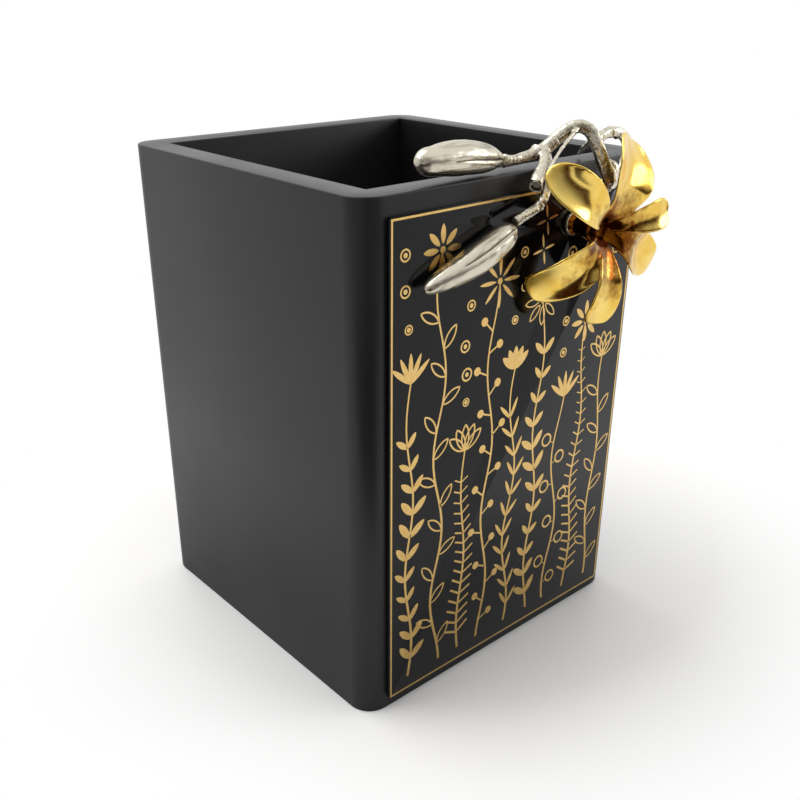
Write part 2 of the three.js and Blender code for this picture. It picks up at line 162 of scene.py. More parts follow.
def add_node(tree, kind, settings=None, links=None):
    """Adds one node. Settings give an attribute by name, or an input by name or number. Links give an input
    and the output that feeds it, or a node for its first output in use."""
    node = tree.nodes.new(kind)
    for name, value in (settings or {}).items():
        if isinstance(name, int) or name in node.inputs:
            node.inputs[name].default_value = value
        else:
            setattr(node, name, value)
    for name, source in (links or {}).items():
        if isinstance(source, bpy.types.Node):
            source = next(output for output in source.outputs if output.enabled)
        tree.links.new(source, node.inputs[name])
    return node


def new_material(name):
    """An empty material, its node tree, and the point on the piece for its patterns to read."""
    material = bpy.data.materials.new(name)
    material.use_nodes = True
    tree = material.node_tree
    tree.nodes.clear()
    return material, tree, add_node(tree, "ShaderNodeTexCoord").outputs["Object"]


def brighter(colour, times):
    """A colour some times as bright, at most white, and fully opaque."""
    return [min(1.0, times * channel) for channel in colour[:3]] + [1.0]


def satin_lacquer():
    """Sprayed satin lacquer on fibreboard: deep black with a soft sheen, a faint orange peel and fine dust."""
    material, tree, place = new_material("satin_lacquer_on_fibreboard")
    peel = add_node(tree, "ShaderNodeTexNoise", {"Scale": 1 / (0.9 * MM), "Detail": 2.0}, {"Vector": place})
    dust = add_node(tree, "ShaderNodeTexNoise", {"Scale": 1 / (0.22 * MM), "Detail": 2.0}, {"Vector": place})
    cloud = add_node(tree, "ShaderNodeTexNoise", {"Scale": 1 / (22 * MM), "Detail": 3.0}, {"Vector": place})
    black = colours().lacquer
    colour = add_node(
        tree, "ShaderNodeMix", {"data_type": "RGBA", FIRST: black, SECOND: brighter(black, 1.35)},
        {SHARE: cloud},
    )
    sheen = add_node(tree, "ShaderNodeMapRange", {**MOST, "To Min": 0.32, "To Max": 0.4}, {"Value": cloud})
    coarse = add_node(tree, "ShaderNodeBump", {"Strength": 0.05, "Distance": 0.1 * MM}, {"Height": peel})
    fine = add_node(
        tree, "ShaderNodeBump", {"Strength": 0.3, "Distance": 0.03 * MM}, {"Height": dust, "Normal": coarse}
    )
    lacquer = add_node(
        tree, "ShaderNodeBsdfPrincipled", {"IOR": 1.4},
        {"Base Color": colour, "Roughness": sheen, "Normal": fine},
    )
    add_node(tree, "ShaderNodeOutputMaterial", links={"Surface": lacquer})
    return material


def gloss_acrylic():
    """Polished black acrylic sheet: a mirror-like black with a very slight waviness and faint wipe marks."""
    material, tree, place = new_material("gloss_black_acrylic")
    wave = add_node(tree, "ShaderNodeTexNoise", {"Scale": 1 / (9 * MM), "Detail": 1.0}, {"Vector": place})
    wipe = add_node(tree, "ShaderNodeTexNoise", {"Scale": 1 / (3 * MM), "Detail": 4.0}, {"Vector": place})
    black = colours().plaque
    colour = add_node(
        tree, "ShaderNodeMix", {"data_type": "RGBA", FIRST: black, SECOND: brighter(black, 1.5)},
        {SHARE: wipe},
    )
    gloss = add_node(tree, "ShaderNodeMapRange", {**MOST, "To Min": 0.07, "To Max": 0.13}, {"Value": wipe})
    waviness = add_node(tree, "ShaderNodeBump", {"Strength": 0.04, "Distance": 0.2 * MM}, {"Height": wave})
    acrylic = add_node(
        tree, "ShaderNodeBsdfPrincipled", {"IOR": 1.35},
        {"Base Color": colour, "Roughness": gloss, "Normal": waviness},
    )
    add_node(tree, "ShaderNodeOutputMaterial", links={"Surface": acrylic})
    return material


def foil_print():
    """Hot-stamped gold foil: a flat satin gold with slight unevenness where the foil took."""
    material, tree, place = new_material("stamped_gold_foil")
    took = add_node(tree, "ShaderNodeTexNoise", {"Scale": 1 / (0.8 * MM), "Detail": 3.0}, {"Vector": place})
    colour = add_node(
        tree, "ShaderNodeMix", {"data_type": "RGBA", FIRST: linear("cf9f4e"), SECOND: linear("f2d593")},
        {SHARE: took},
    )
    sheen = add_node(tree, "ShaderNodeMapRange", {**MOST, "To Min": 0.28, "To Max": 0.42}, {"Value": took})
    foil = add_node(
        tree, "ShaderNodeBsdfPrincipled", {"Metallic": 1.0}, {"Base Color": colour, "Roughness": sheen}
    )
    add_node(tree, "ShaderNodeOutputMaterial", links={"Surface": foil})
    return material


def gold_plating():
    """Polished gold plating on a zinc casting: warm yellow and mirror-like with casting ripples, with painted
    shade in the throat, a brown darkening of the hollow."""
    material, tree, place = new_material("polished_gold_plating")
    ripple = add_node(tree, "ShaderNodeTexNoise", {"Scale": 1 / (5.5 * MM), "Detail": 1.0}, {"Vector": place})
    grain = add_node(tree, "ShaderNodeTexNoise", {"Scale": 1 / (0.35 * MM), "Detail": 3.0}, {"Vector": place})
    tint = add_node(tree, "ShaderNodeTexNoise", {"Scale": 1 / (5 * MM), "Detail": 2.0}, {"Vector": place})
    mottle = add_node(tree, "ShaderNodeTexNoise", {"Scale": 1 / (2.2 * MM), "Detail": 3.0}, {"Vector": place})
    yellow = colours().gold
    deeper = [channel * share for channel, share in zip(yellow, DEEPER_GOLD)]
    tinting = add_node(tree, "ShaderNodeMapRange", {"From Min": 0.4, "From Max": 0.6}, {"Value": tint})
    plated = add_node(
        tree, "ShaderNodeMix", {"data_type": "RGBA", FIRST: deeper, SECOND: yellow}, {SHARE: tinting}
    )

    # The painted shade in the throat fades out unevenly with the distance from its middle
    from_throat = add_node(tree, "ShaderNodeVectorMath", {"operation": "DISTANCE", 1: THROAT_SHADE_MIDDLE}, {0: place})
    stray = add_node(
        tree, "ShaderNodeMapRange", {**MOST, "To Min": -THROAT_SHADE_UNEVEN, "To Max": THROAT_SHADE_UNEVEN}, {"Value": mottle}
    )
    uneven = add_node(tree, "ShaderNodeMath", {"operation": "ADD"}, {0: from_throat, 1: stray})
    out_of_throat_shade = add_node(
        tree, "ShaderNodeMapRange", {"From Min": THROAT_SHADE_START, "From Max": THROAT_SHADE_END}, {"Value": uneven}
    )
    # Painted shade: the dark browns that stand in for the shade deep in the throat
    painted_throat_shade = add_node(
        tree, "ShaderNodeMix", {"data_type": "RGBA", FIRST: linear("4c2206"), SECOND: linear("9a5c14")},
        {SHARE: mottle},
    )
    colour = add_node(
        tree, "ShaderNodeMix", {"data_type": "RGBA"}, {SHARE: out_of_throat_shade, FIRST: painted_throat_shade, SECOND: plated}
    )

    polish = add_node(tree, "ShaderNodeMapRange", {**MOST, "To Min": 0.12, "To Max": 0.19}, {"Value": grain})
    coarse = add_node(tree, "ShaderNodeBump", {"Strength": 0.4, "Distance": 0.5 * MM}, {"Height": ripple})
    fine = add_node(
        tree, "ShaderNodeBump", {"Strength": 0.12, "Distance": 0.02 * MM}, {"Height": grain, "Normal": coarse}
    )
    gold = add_node(
        tree, "ShaderNodeBsdfPrincipled", {"Metallic": 1.0},
        {"Base Color": colour, "Roughness": polish, "Normal": fine},
    )
    add_node(tree, "ShaderNodeOutputMaterial", links={"Surface": gold})
    return material


def antique_silver():
    """Antiqued silver plating: bright where it is rubbed, brown-black oxide left in the grooves, joints and
    pits, and fine folds that run along each bud."""
    material, tree, place = new_material("antique_silver_plating")
    lie = add_node(tree, "ShaderNodeAttribute", {"attribute_name": "lie"}).outputs["Vector"]
    seam = add_node(tree, "ShaderNodeAttribute", {"attribute_name": "seam"}).outputs["Fac"]
    folds = add_node(
        tree, "ShaderNodeTexNoise", {"Scale": 1 / (0.85 * MM), "Detail": 1.5, "Roughness": 0.4}, {"Vector": lie}
    )
    pits = add_node(tree, "ShaderNodeTexNoise", {"Scale": 1 / (0.45 * MM), "Detail": 3.0}, {"Vector": place})
    stain = add_node(tree, "ShaderNodeTexNoise", {"Scale": 1 / (1.5 * MM), "Detail": 3.0}, {"Vector": lie})

    # Oxide stays in hollows, along the seams between the sepals, and in patches
    open_sky = add_node(
        tree, "ShaderNodeAmbientOcclusion", {"Distance": 0.9 * MM, "only_local": True, "samples": 16}
    )
    hollow = add_node(
        tree, "ShaderNodeMapRange", {"From Min": 0.5, "From Max": 0.94, "To Min": 1.0, "To Max": 0.0},
        {"Value": open_sky.outputs["AO"]},
    )
    line = add_node(
        tree, "ShaderNodeMapRange", {"From Min": 0.55, "From Max": 0.9, "To Max": 0.9}, {"Value": seam}
    )
    patch = add_node(
        tree, "ShaderNodeMapRange", {"From Min": 0.53, "From Max": 0.74, "To Max": 0.6}, {"Value": stain}
    )
    groove = add_node(tree, "ShaderNodeMath", {"operation": "MAXIMUM"}, {0: hollow, 1: line})
    oxide = add_node(tree, "ShaderNodeMath", {"operation": "MAXIMUM"}, {0: groove, 1: patch})
    colour = add_node(
        tree, "ShaderNodeMix", {"data_type": "RGBA", FIRST: colours().silver, SECOND: linear("4a3420")},
        {SHARE: oxide},
    )

    wear = add_node(tree, "ShaderNodeMapRange", {**MOST, "To Min": 0.2, "To Max": 0.36}, {"Value": stain})
    coarse = add_node(tree, "ShaderNodeBump", {"Strength": 0.7, "Distance": 0.2 * MM}, {"Height": folds})
    fine = add_node(
        tree, "ShaderNodeBump", {"Strength": 0.08, "Distance": 0.05 * MM}, {"Height": pits, "Normal": coarse}
    )
    silver = add_node(
        tree, "ShaderNodeBsdfPrincipled", {"Metallic": 1.0},
        {"Base Color": colour, "Roughness": wear, "Normal": fine},
    )
    add_node(tree, "ShaderNodeOutputMaterial", links={"Surface": silver})
    return material


def zinc_steel():
    """Zinc plated screw steel: grey with turned marks too fine to show, drawn as a soft grain."""
    material, tree, place = new_material("zinc_plated_steel")
    grain = add_node(tree, "ShaderNodeTexNoise", {"Scale": 1 / (0.3 * MM), "Detail": 2.0}, {"Vector": place})
    colour = add_node(
        tree, "ShaderNodeMix", {"data_type": "RGBA", FIRST: linear("8e8f92"), SECOND: linear("b9babc")},
        {SHARE: grain},
    )
    sheen = add_node(tree, "ShaderNodeMapRange", {**MOST, "To Min": 0.3, "To Max": 0.42}, {"Value": grain})
    steel = add_node(
        tree, "ShaderNodeBsdfPrincipled", {"Metallic": 1.0}, {"Base Color": colour, "Roughness": sheen}
    )
    add_node(tree, "ShaderNodeOutputMaterial", links={"Surface": steel})
    return material


def adhesive_film():
    """Clear adhesive film with a milky edge."""
    material, tree, place = new_material("milky_adhesive_film")
    cloud = add_node(tree, "ShaderNodeTexNoise", {"Scale": 1 / (1.5 * MM), "Detail": 2.0}, {"Vector": place})
    colour = add_node(
        tree, "ShaderNodeMix", {"data_type": "RGBA", FIRST: linear("6c6a64"), SECOND: linear("8a8880")},
        {SHARE: cloud},
    )
    film = add_node(tree, "ShaderNodeBsdfPrincipled", {"Roughness": 0.6}, {"Base Color": colour})
    add_node(tree, "ShaderNodeOutputMaterial", links={"Surface": film})
    return material


def pale_floor():
    """White laminate table: the shadow lies near the object, and the floor runs out to plain white. Close to
    the object, painted shade darkens it as only gloss sees it."""
    material, tree, place = new_material("white_laminate")
    rays = add_node(tree, "ShaderNodeLightPath").outputs
    grain = add_node(tree, "ShaderNodeTexNoise", {"Scale": 1 / (1.2 * MM), "Detail": 3.0}, {"Vector": place})
    pale = colours().floor
    laminate = add_node(
        tree, "ShaderNodeMix", {"data_type": "RGBA", FIRST: pale, SECOND: brighter(pale, 0.985)},
        {SHARE: grain},
    )

    reach = add_node(tree, "ShaderNodeVectorMath", {"operation": "LENGTH"}, {0: place})
    close = add_node(
        tree, "ShaderNodeMapRange",
        {"From Min": REFLECTED_SHADE_START, "From Max": REFLECTED_SHADE_END, "To Min": REFLECTED_SHADE_SHARE, "To Max": 0.0}, {"Value": reach},
    )
    # Painted shade: gloss sees the floor near the object darker, blended towards a dark grey
    painted_reflected_shade = add_node(tree, "ShaderNodeMath", {"operation": "MULTIPLY"}, {0: close, 1: rays["Is Glossy Ray"]})
    colour = add_node(
        tree, "ShaderNodeMix", {"data_type": "RGBA", SECOND: linear("242220")},
        {SHARE: painted_reflected_shade, FIRST: laminate},
    )
    table = add_node(tree, "ShaderNodeBsdfPrincipled", {"Roughness": 0.5}, {"Base Color": colour})

    distance = add_node(tree, "ShaderNodeVectorMath", {"operation": "DISTANCE", 1: SHADOW_MIDDLE}, {0: place})
    away = add_node(
        tree, "ShaderNodeMapRange", {"From Min": SHADOW_START, "From Max": SHADOW_END}, {"Value": distance}
    )
    seen = add_node(
        tree, "ShaderNodeMath", {"operation": "MAXIMUM"}, {0: rays["Is Camera Ray"], 1: rays["Is Glossy Ray"]}
    )
    seen_through = add_node(
        tree, "ShaderNodeMath", {"operation": "MAXIMUM"}, {0: seen, 1: rays["Is Transmission Ray"]}
    )
    whiteness = add_node(tree, "ShaderNodeMath", {"operation": "MULTIPLY"}, {0: away, 1: seen_through})
    white = add_node(tree, "ShaderNodeEmission", {"Strength": 1.0})
    floor = add_node(tree, "ShaderNodeMixShader", links={0: whiteness, 1: table, 2: white})
    add_node(tree, "ShaderNodeOutputMaterial", links={"Surface": floor})
    return material


def black_velvet():
    """Black velvet on the card that stands in for shade, seen only as a painted reflection: brown-black and
    quite without gloss.
    """
    material, tree, place = new_material("black_velvet")
    nap = add_node(tree, "ShaderNodeTexNoise", {"Scale": 1 / (8 * MM), "Detail": 3.0}, {"Vector": place})
    colour = add_node(
        tree, "ShaderNodeMix", {"data_type": "RGBA", FIRST: linear("28140c"), SECOND: linear("341c10")},
        {SHARE: nap},
    )
    velvet = add_node(
        tree, "ShaderNodeBsdfPrincipled", {"Roughness": 1.0, "Specular IOR Level": 0.0}, {"Base Color": colour}
    )
    add_node(tree, "ShaderNodeOutputMaterial", links={"Surface": velvet})
    return material


def deselect_all():
    """Leaves edit mode and selects nothing."""
    if bpy.context.object and bpy.context.object.mode != "OBJECT":
        bpy.ops.object.mode_set(mode="OBJECT")
    bpy.ops.object.select_all(action="DESELECT")


def make_active(obj):
    """Selects one object alone, as the tools work on what is selected."""
    deselect_all()
    obj.select_set(True)
    bpy.context.view_layer.objects.active = obj


def place_applied(obj):
    """Puts the object's place into its mesh, so that the object sits at the origin, unturned and unscaled."""
    make_active(obj)
    bpy.ops.object.transform_apply(location=True, rotation=True, scale=True)
    return obj


def apply_modifier(obj, kind, **settings):
    """Puts a modifier's result into the mesh."""
    make_active(obj)
    modifier = obj.modifiers.new(kind.lower(), kind)
    for name, value in settings.items():
        setattr(modifier, name, value)
    bpy.ops.object.modifier_apply(modifier=modifier.name)


def cut_away(obj, cutter):
    """Cuts a block's shape out of a piece, and removes the block."""
    place_applied(cutter)
    apply_modifier(obj, "BOOLEAN", object=cutter, operation="DIFFERENCE", solver="EXACT")
    bpy.data.objects.remove(cutter)


def ruffle(obj, name, grain, depth, strength, level, **settings):
    """Moves a surface in and out by a soft cloud pattern whose grain is that many metres across."""
    clouds = bpy.data.textures.new(name, "CLOUDS")
    clouds.noise_scale = grain
    clouds.noise_depth = depth
    apply_modifier(
        obj, "DISPLACE", texture=clouds, strength=strength, mid_level=level, texture_coords="LOCAL", **settings
    )


def join_pieces(pieces):
    """Joins the pieces into the first of them."""
    make_active(pieces[0])
    for piece in pieces:
        piece.select_set(True)
    bpy.ops.object.join()


def sharper(edge, degrees):
    """Whether the two faces at an edge meet at more than that angle."""
    return edge.is_manifold and edge.calc_face_angle(0) > math.radians(degrees)


def edit_selected(obj, kind, chosen):
    """Enters edit mode with only the faces, edges or vertices that chosen accepts selected."""
    make_active(obj)
    bpy.ops.object.mode_set(mode="EDIT")
    bpy.ops.mesh.select_mode(type={"verts": "VERT", "edges": "EDGE", "faces": "FACE"}[kind])
    bpy.ops.mesh.select_all(action="DESELECT")
    mesh = bmesh.from_edit_mesh(obj.data)
    for element in getattr(mesh, kind):
        element.select_set(bool(chosen(element)))
    bmesh.update_edit_mesh(obj.data)


def edit_all(obj):
    """Enters edit mode with the whole mesh selected."""
    edit_selected(obj, "faces", lambda face: True)


def leave_edit():
    """Goes back from edit mode, which writes the mesh."""
    bpy.ops.object.mode_set(mode="OBJECT")


def soften_edges(obj, width, segments, chosen):
    """Rounds the edges that chosen accepts."""
    edit_selected(obj, "edges", chosen)
    bpy.ops.mesh.bevel(offset=width, segments=segments, profile=0.5, affect="EDGES")
    leave_edit()


def smooth(obj, degrees):
    """Shades a piece smooth over all edges flatter than that angle."""
    make_active(obj)
    bpy.ops.object.shade_smooth_by_angle(angle=math.radians(degrees))


def dress(obj, name, material, slot, *nodes):
    """Names a finished piece, gives it its material, and lets it stand for its solids. The slot is not used."""
    obj.name = name
    obj.data.name = name
    obj.data.materials.clear()
    obj.data.materials.append(material)
    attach(obj, "root")
    if nodes:
        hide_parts(*nodes)


def copy_of(node):
    """A free copy of a solid's mesh, with its loose triangles merged and paired to four-sided faces."""
    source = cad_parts[node]
    mesh = source.data.copy()
    obj = bpy.data.objects.new(node + "_copy", mesh)
    bpy.context.scene.collection.objects.link(obj)
    make_active(obj)
    bpy.ops.object.mode_set(mode="EDIT")
    bpy.ops.mesh.select_all(action="SELECT")
    bpy.ops.mesh.remove_doubles(threshold=WELD)
    bpy.ops.mesh.tris_convert_to_quads(face_threshold=math.radians(50), shape_threshold=math.radians(60))
    leave_edit()
    mesh.materials.clear()
    if mesh.has_custom_normals:
        bpy.ops.mesh.customdata_custom_splitnormals_clear()
    return obj


def finish_solid(node, material):
    """A solid whose own shape is right keeps it and gets its material."""
    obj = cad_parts[node]
    obj.data.materials.clear()
    obj.data.materials.append(material)
    return obj


class HOLDER_OT_box(bpy.types.Operator):
    """Makes the lacquered box as one painted shell with rounded upright corners and softened edges"""

    bl_idname = "holder.box"
    bl_label = "Box"

    def execute(self, context):
        size = BOX_HIGH - BOX_LOW
        deselect_all()
        bpy.ops.mesh.primitive_cube_add(size=1, location=(BOX_LOW + BOX_HIGH) / 2, scale=size)
        box = place_applied(context.object)

        def upright(edge):
            return abs(edge.verts[0].co.z - edge.verts[1].co.z) > 0.5 * size.z

        soften_edges(box, sizes().corner_radius, segments=12, chosen=upright)

        # The cavity is cut by a plain block, so that its corners stay sharp as the boards leave them
        wall = INNER_LOW.x - BOX_LOW.x
        deselect_all()
        bpy.ops.mesh.primitive_cube_add(
            size=1, location=(0, 0, INNER_HIGH.z + size.z / 2),
            scale=(size.x - 2 * wall, size.y - 2 * wall, size.z),
        )
        cut_away(box, context.object)

        # The screw's seat in the front wall, a cone with a straight mouth behind it
        mouth_radius = (SCREW_HIGH.x - SCREW_LOW.x) / 2 + SEAT_ROOM
        facing_front = (math.radians(90), 0, 0)
        deselect_all()
        bpy.ops.mesh.primitive_cone_add(
            vertices=48, radius1=mouth_radius, radius2=SEAT_END, depth=SEAT_DEPTH, rotation=facing_front,
            location=(SCREW_MIDDLE.x, SCREW_HIGH.y - SEAT_DEPTH / 2, SCREW_MIDDLE.z),
        )
        cut_away(box, context.object)
        deselect_all()
        bpy.ops.mesh.primitive_cylinder_add(
            vertices=48, radius=mouth_radius, depth=MOUTH_DEPTH, rotation=facing_front,
            location=(SCREW_MIDDLE.x, SCREW_HIGH.y + MOUTH_DEPTH / 2, SCREW_MIDDLE.z),
        )
        cut_away(box, context.object)

        def rim_or_foot(edge):
            heights = [v.co.z for v in edge.verts]
            level = abs(heights[0] - heights[1]) < TOUCH
            outer = heights[0] > BOX_HIGH.z - TOUCH or heights[0] < BOX_LOW.z + TOUCH
            return level and outer and sharper(edge, 40)

        soften_edges(box, sizes().edge_softness, segments=3, chosen=rim_or_foot)
        smooth(box, 35)
        boards = ("front_wall", "back_wall", "left_wall", "right_wall", "base_board")
        dress(box, "lacquered_box", satin_lacquer(), "lacquer", *boards)
        return {"FINISHED"}


class HOLDER_OT_plaque(bpy.types.Operator):
    """Makes the glossy front plaque with polished edges, and finishes the adhesive film behind it"""

    bl_idname = "holder.plaque"
    bl_label = "Plaque"

    def execute(self, context):
        sheet = copy_of("front_plaque")
        edit_all(sheet)
        bpy.ops.mesh.dissolve_limited(angle_limit=math.radians(1))
        leave_edit()

        def front_edge(edge):
            return all(abs(v.co.y - PLAQUE_LOW.y) < TOUCH for v in edge.verts) and sharper(edge, 60)

        soften_edges(sheet, PLAQUE_EDGE, segments=2, chosen=front_edge)
        smooth(sheet, 30)
        dress(sheet, "gloss_plaque", gloss_acrylic(), "plaque", "front_plaque")
        finish_solid("plaque_adhesive", adhesive_film())
        return {"FINISHED"}


# How sharply a printed leaf narrows to its ends, and the line of a motif that is only an outline
LEAF_POINTEDNESS = 0.45
OUTLINE_WIDTH = 0.42 * MM

# Printed motifs that cross lie in layers this far apart
LAYERS = 7
LAYER_STEP = 0.003 * MM

# How much more the border keeps off the plaque's foot and head than off its sides
BORDER_LIFT = 0.1 * MM
BORDER_DROP = 0.06 * MM

# A printed stem: its width, the share of it lost towards the top, the length of one sway, by how much each
# stem sways later than the last, and its foot above the plaque's foot
STEM_WIDTH = 0.62 * MM
STEM_TAPER = 0.45
STEM_WAVE = 31 * MM
STEM_PHASE = 1.7
STEM_START = 3.2 * MM

# In mm: the straight pieces that a stem is made of, and its bare length at the foot and at both ends together
STEM_PIECE = 2
BARE_FOOT, BARE_ENDS = 4, 7

# A stem's top: the leaves of a rosette, their reach and size, and its berry's size, or the leaves of a fan, in
# degrees, and their size
ROSETTE_LEAVES = 8
ROSETTE_REACH = 1.0 * MM
ROSETTE_LEAF, ROSETTE_BERRY = 0.62, 0.72
FAN = (-50, -25, 0, 25, 50)
FAN_LEAF = 0.85

# The loose seeds, in mm: where they start above a stem, where they end, how far they drift aside, and the
# least and most between two. Then the least and most size of a ring, and a star's leaves in degrees, how much
# each star is turned more than the last, and its leaves' reach and size.
SEED_GAP, SEED_TOP = 13, 89
SEED_DRIFT = 1.6
SEED_SPACING = (5.2, 7.4)
RING_SIZES = (0.55, 0.95)
STAR = (0, 90, 180, 270)
STAR_TURN = 20
STAR_REACH = 0.3 * MM
STAR_LEAF = 0.4

# What grows at a stem's sides: the motif, its lean in degrees, its size at each step, whether it grows in
# pairs, and the motif at its tip with its reach in mm
GROWTHS = {
    "leaves": ("leaf", 44, lambda step: 0.72 + 0.12 * math.cos(step), True, None, 0),
    "slim_leaves": ("slim_leaf", 34, lambda step: 0.66, True, None, 0),
    "open_leaves": ("open_leaf", 48, lambda step: 0.78, False, None, 0),
    "fern": ("frond", 62, lambda step: 1 - 0.03 * step, True, None, 0),
    "berries": ("stalk", 58, lambda step: 1.0, False, "berry", 3.1),
    "rings": ("stalk", 70, lambda step: 0.5, False, "ring", 2.7),
}

# The climbing stems, in mm: place from the plaque's left side, height, sway, spacing and what grows on it
STEMS = (
    (4.6, 62, 0.9, 4.6, "leaves"),
    (11.6, 84, 1.3, 5.2, "open_leaves"),
    (18.4, 45, 0.7, 2.3, "fern"),
    (24.6, 76, 1.1, 4.2, "berries"),
    (31.4, 58, 1.2, 4.4, "slim_leaves"),
    (38.4, 70, 0.9, 5.0, "leaves"),
    (45.4, 48, 1.3, 4.9, "rings"),
    (51.8, 63, 0.8, 2.4, "fern"),
    (58.4, 54, 0.8, 4.6, "open_leaves"),
)


def flat_piece(context, points):
    """A flat piece with X to the right and Y up, from an outline drawn as a filled circle."""
    deselect_all()
    bpy.ops.mesh.primitive_circle_add(vertices=len(points), radius=1, fill_type="NGON")
    motif = context.object
    for vertex, (x, y) in zip(motif.data.vertices, points):
        vertex.co = (x, y, 0)
    return motif


def leaf_points(length, width, steps=14):
    """A pointed leaf from the origin up the Y axis."""
    points = []
    for i in range(steps):
        turn = 2 * math.pi * i / steps
        across = math.sin(turn) * abs(math.sin(turn)) ** LEAF_POINTEDNESS
        points.append((width / 2 * across, length / 2 * (1 - math.cos(turn))))
    return points


def disc_points(radius, steps=18):
    """A round dot about the origin."""
    turns = [2 * math.pi * i / steps for i in range(steps)]
    return [(radius * math.cos(turn), radius * math.sin(turn)) for turn in turns]


def bar_points(length, width):
    """A short straight line from the origin up the Y axis."""
    return [(-width / 2, 0), (width / 2, 0), (width / 2, length), (-width / 2, length)]


def hollowed(motif, width):
    """Cuts the middle out of a flat motif, leaving an outline of that width."""
    edit_all(motif)
    bpy.ops.mesh.inset(thickness=width, use_boundary=True)
    bpy.ops.mesh.delete(type="FACE")
    leave_edit()
    return motif


def draw_motifs(context):
    """The small motifs that the print repeats, each drawn flat about its foot or its middle."""
    return {
        "leaf": flat_piece(context, leaf_points(5.4 * MM, 1.9 * MM)),
        "slim_leaf": flat_piece(context, leaf_points(6.6 * MM, 1.25 * MM)),
        "open_leaf": hollowed(flat_piece(context, leaf_points(6.4 * MM, 2.6 * MM, 20)), OUTLINE_WIDTH),
        "berry": flat_piece(context, disc_points(0.85 * MM)),
        "dot": flat_piece(context, disc_points(0.45 * MM, 12)),
        "ring": hollowed(flat_piece(context, disc_points(1.5 * MM, 24)), OUTLINE_WIDTH),
        "stalk": flat_piece(context, bar_points(2.6 * MM, 0.34 * MM)),
        "frond": flat_piece(context, bar_points(3.5 * MM, 0.5 * MM)),
    }


def ahead(x, y, turn, reach):
    """The point that lies reach away from x, y in the direction of turn, counted from straight up."""
    return x - math.sin(turn) * reach, y + math.cos(turn) * reach


def sway_at(up, sway, phase):
    """How far a climbing stem leans aside at a height, and its turn from straight up there."""
    angle = 2 * math.pi * up / STEM_WAVE + phase
    return sway * math.sin(angle), -math.atan(sway * 2 * math.pi / STEM_WAVE * math.cos(angle))


def climbing_line(context, length, sway, phase, pieces):
    """An upright stem that sways from side to side and gets thinner, as a flat strip."""
    deselect_all()
    bpy.ops.mesh.primitive_grid_add(x_subdivisions=1, y_subdivisions=pieces, size=1)
    strip = context.object
    for vertex in strip.data.vertices:
        up = (vertex.co.y + 0.5) * length
        taper = 1 - STEM_TAPER * up / length
        vertex.co = (sway_at(up, sway, phase)[0] + vertex.co.x * STEM_WIDTH * taper, up, 0)
    return strip


class PrintSheet:
    """Collects copies of the motifs, each at its place on the plaque's face."""

    def __init__(self, context):
        self.context = context
        self.motifs = draw_motifs(context)
        self.copies = []
        self.to_face = Matrix.Translation((0, PLAQUE_LOW.y, 0)) @ Matrix.Rotation(math.radians(90), 4, "X")

    def stamp(self, name, x, y, turn=0.0, size=1.0):
        """Puts a copy of a motif on the face, in one of a few layers a hair apart."""
        mesh = self.motifs[name].data.copy()
        depth = -(len(self.copies) % LAYERS) * LAYER_STEP
        place = Matrix.Translation((x, y, depth)) @ Matrix.Rotation(turn, 4, "Z") @ Matrix.Scale(size, 4)
        mesh.transform(self.to_face @ place)
        obj = bpy.data.objects.new("print", mesh)
        self.context.scene.collection.objects.link(obj)
        self.copies.append(obj)

    def border(self):
        """The frame line just inside the plaque's edge."""
        inset = sizes().border_inset
        left, right = PLAQUE_LOW.x + inset, PLAQUE_HIGH.x - inset
        foot, head = PLAQUE_LOW.z + inset + BORDER_LIFT, PLAQUE_HIGH.z - inset - BORDER_DROP
        corners = [(left, foot), (right, foot), (right, head), (left, head)]
        self.motifs["border"] = hollowed(flat_piece(self.context, corners), sizes().border_width)
        self.stamp("border", 0, 0)

    def climbing_stem(self, number):
        """A stem with what grows at its sides and on its top."""
        across, height, sway, spacing, kind = STEMS[number]
        motif, lean, size_at, paired, tip, reach = GROWTHS[kind]
        foot_x, foot_y = PLAQUE_LOW.x + across * MM, PLAQUE_LOW.z + STEM_START
        length, sway, phase = height * MM, sway * MM, STEM_PHASE * number
        name = f"stem_{number}"
        self.motifs[name] = climbing_line(self.context, length, sway, phase, height // STEM_PIECE)
        self.stamp(name, foot_x, foot_y)
        for step in range(int((height - BARE_ENDS) / spacing)):
            up = (BARE_FOOT + step * spacing) * MM
            aside, turn = sway_at(up, sway, phase)
            x, y = foot_x + aside, foot_y + up
            sides = (-1, 1) if paired else ((-1) ** step,)
            for side in sides:
                angle = turn - side * math.radians(lean)
                self.stamp(motif, x, y, angle, size_at(step))
                if tip:
                    self.stamp(tip, *ahead(x, y, angle, reach * MM))
        self.stem_top(number, foot_x + sway_at(length, sway, phase)[0], foot_y + length)

    def stem_top(self, number, top_x, top_y):
        """A rosette around a berry on every second stem, and a fan of leaves on the others."""
        leaf = ("slim_leaf", "leaf", "open_leaf")[number % 3]
        if number % 2:
            for i in range(ROSETTE_LEAVES):
                turn = 2 * math.pi * i / ROSETTE_LEAVES
                self.stamp(leaf, *ahead(top_x, top_y, turn, ROSETTE_REACH), turn, ROSETTE_LEAF)
            self.stamp("berry", top_x, top_y, size=ROSETTE_BERRY)
        else:
            for degrees in FAN:
                self.stamp(leaf, top_x, top_y, math.radians(degrees), FAN_LEAF)

    def loose_seed(self, number, x, y, scatter):
        """A small star of four leaves over every second stem, and a ring with a dot over the others."""
        if number % 2:
            for degrees in STAR:
                turn = math.radians(degrees + STAR_TURN * number)
                self.stamp("slim_leaf", *ahead(x, y, turn, STAR_REACH), turn, STAR_LEAF)
        else:
            self.stamp("ring", x, y, size=scatter.uniform(*RING_SIZES))
            self.stamp("dot", x, y)

    def joined(self):
        """All the copies as one object, with the motifs themselves removed."""
        join_pieces(self.copies)
        for motif in self.motifs.values():
            bpy.data.objects.remove(motif)
        return self.copies[0]


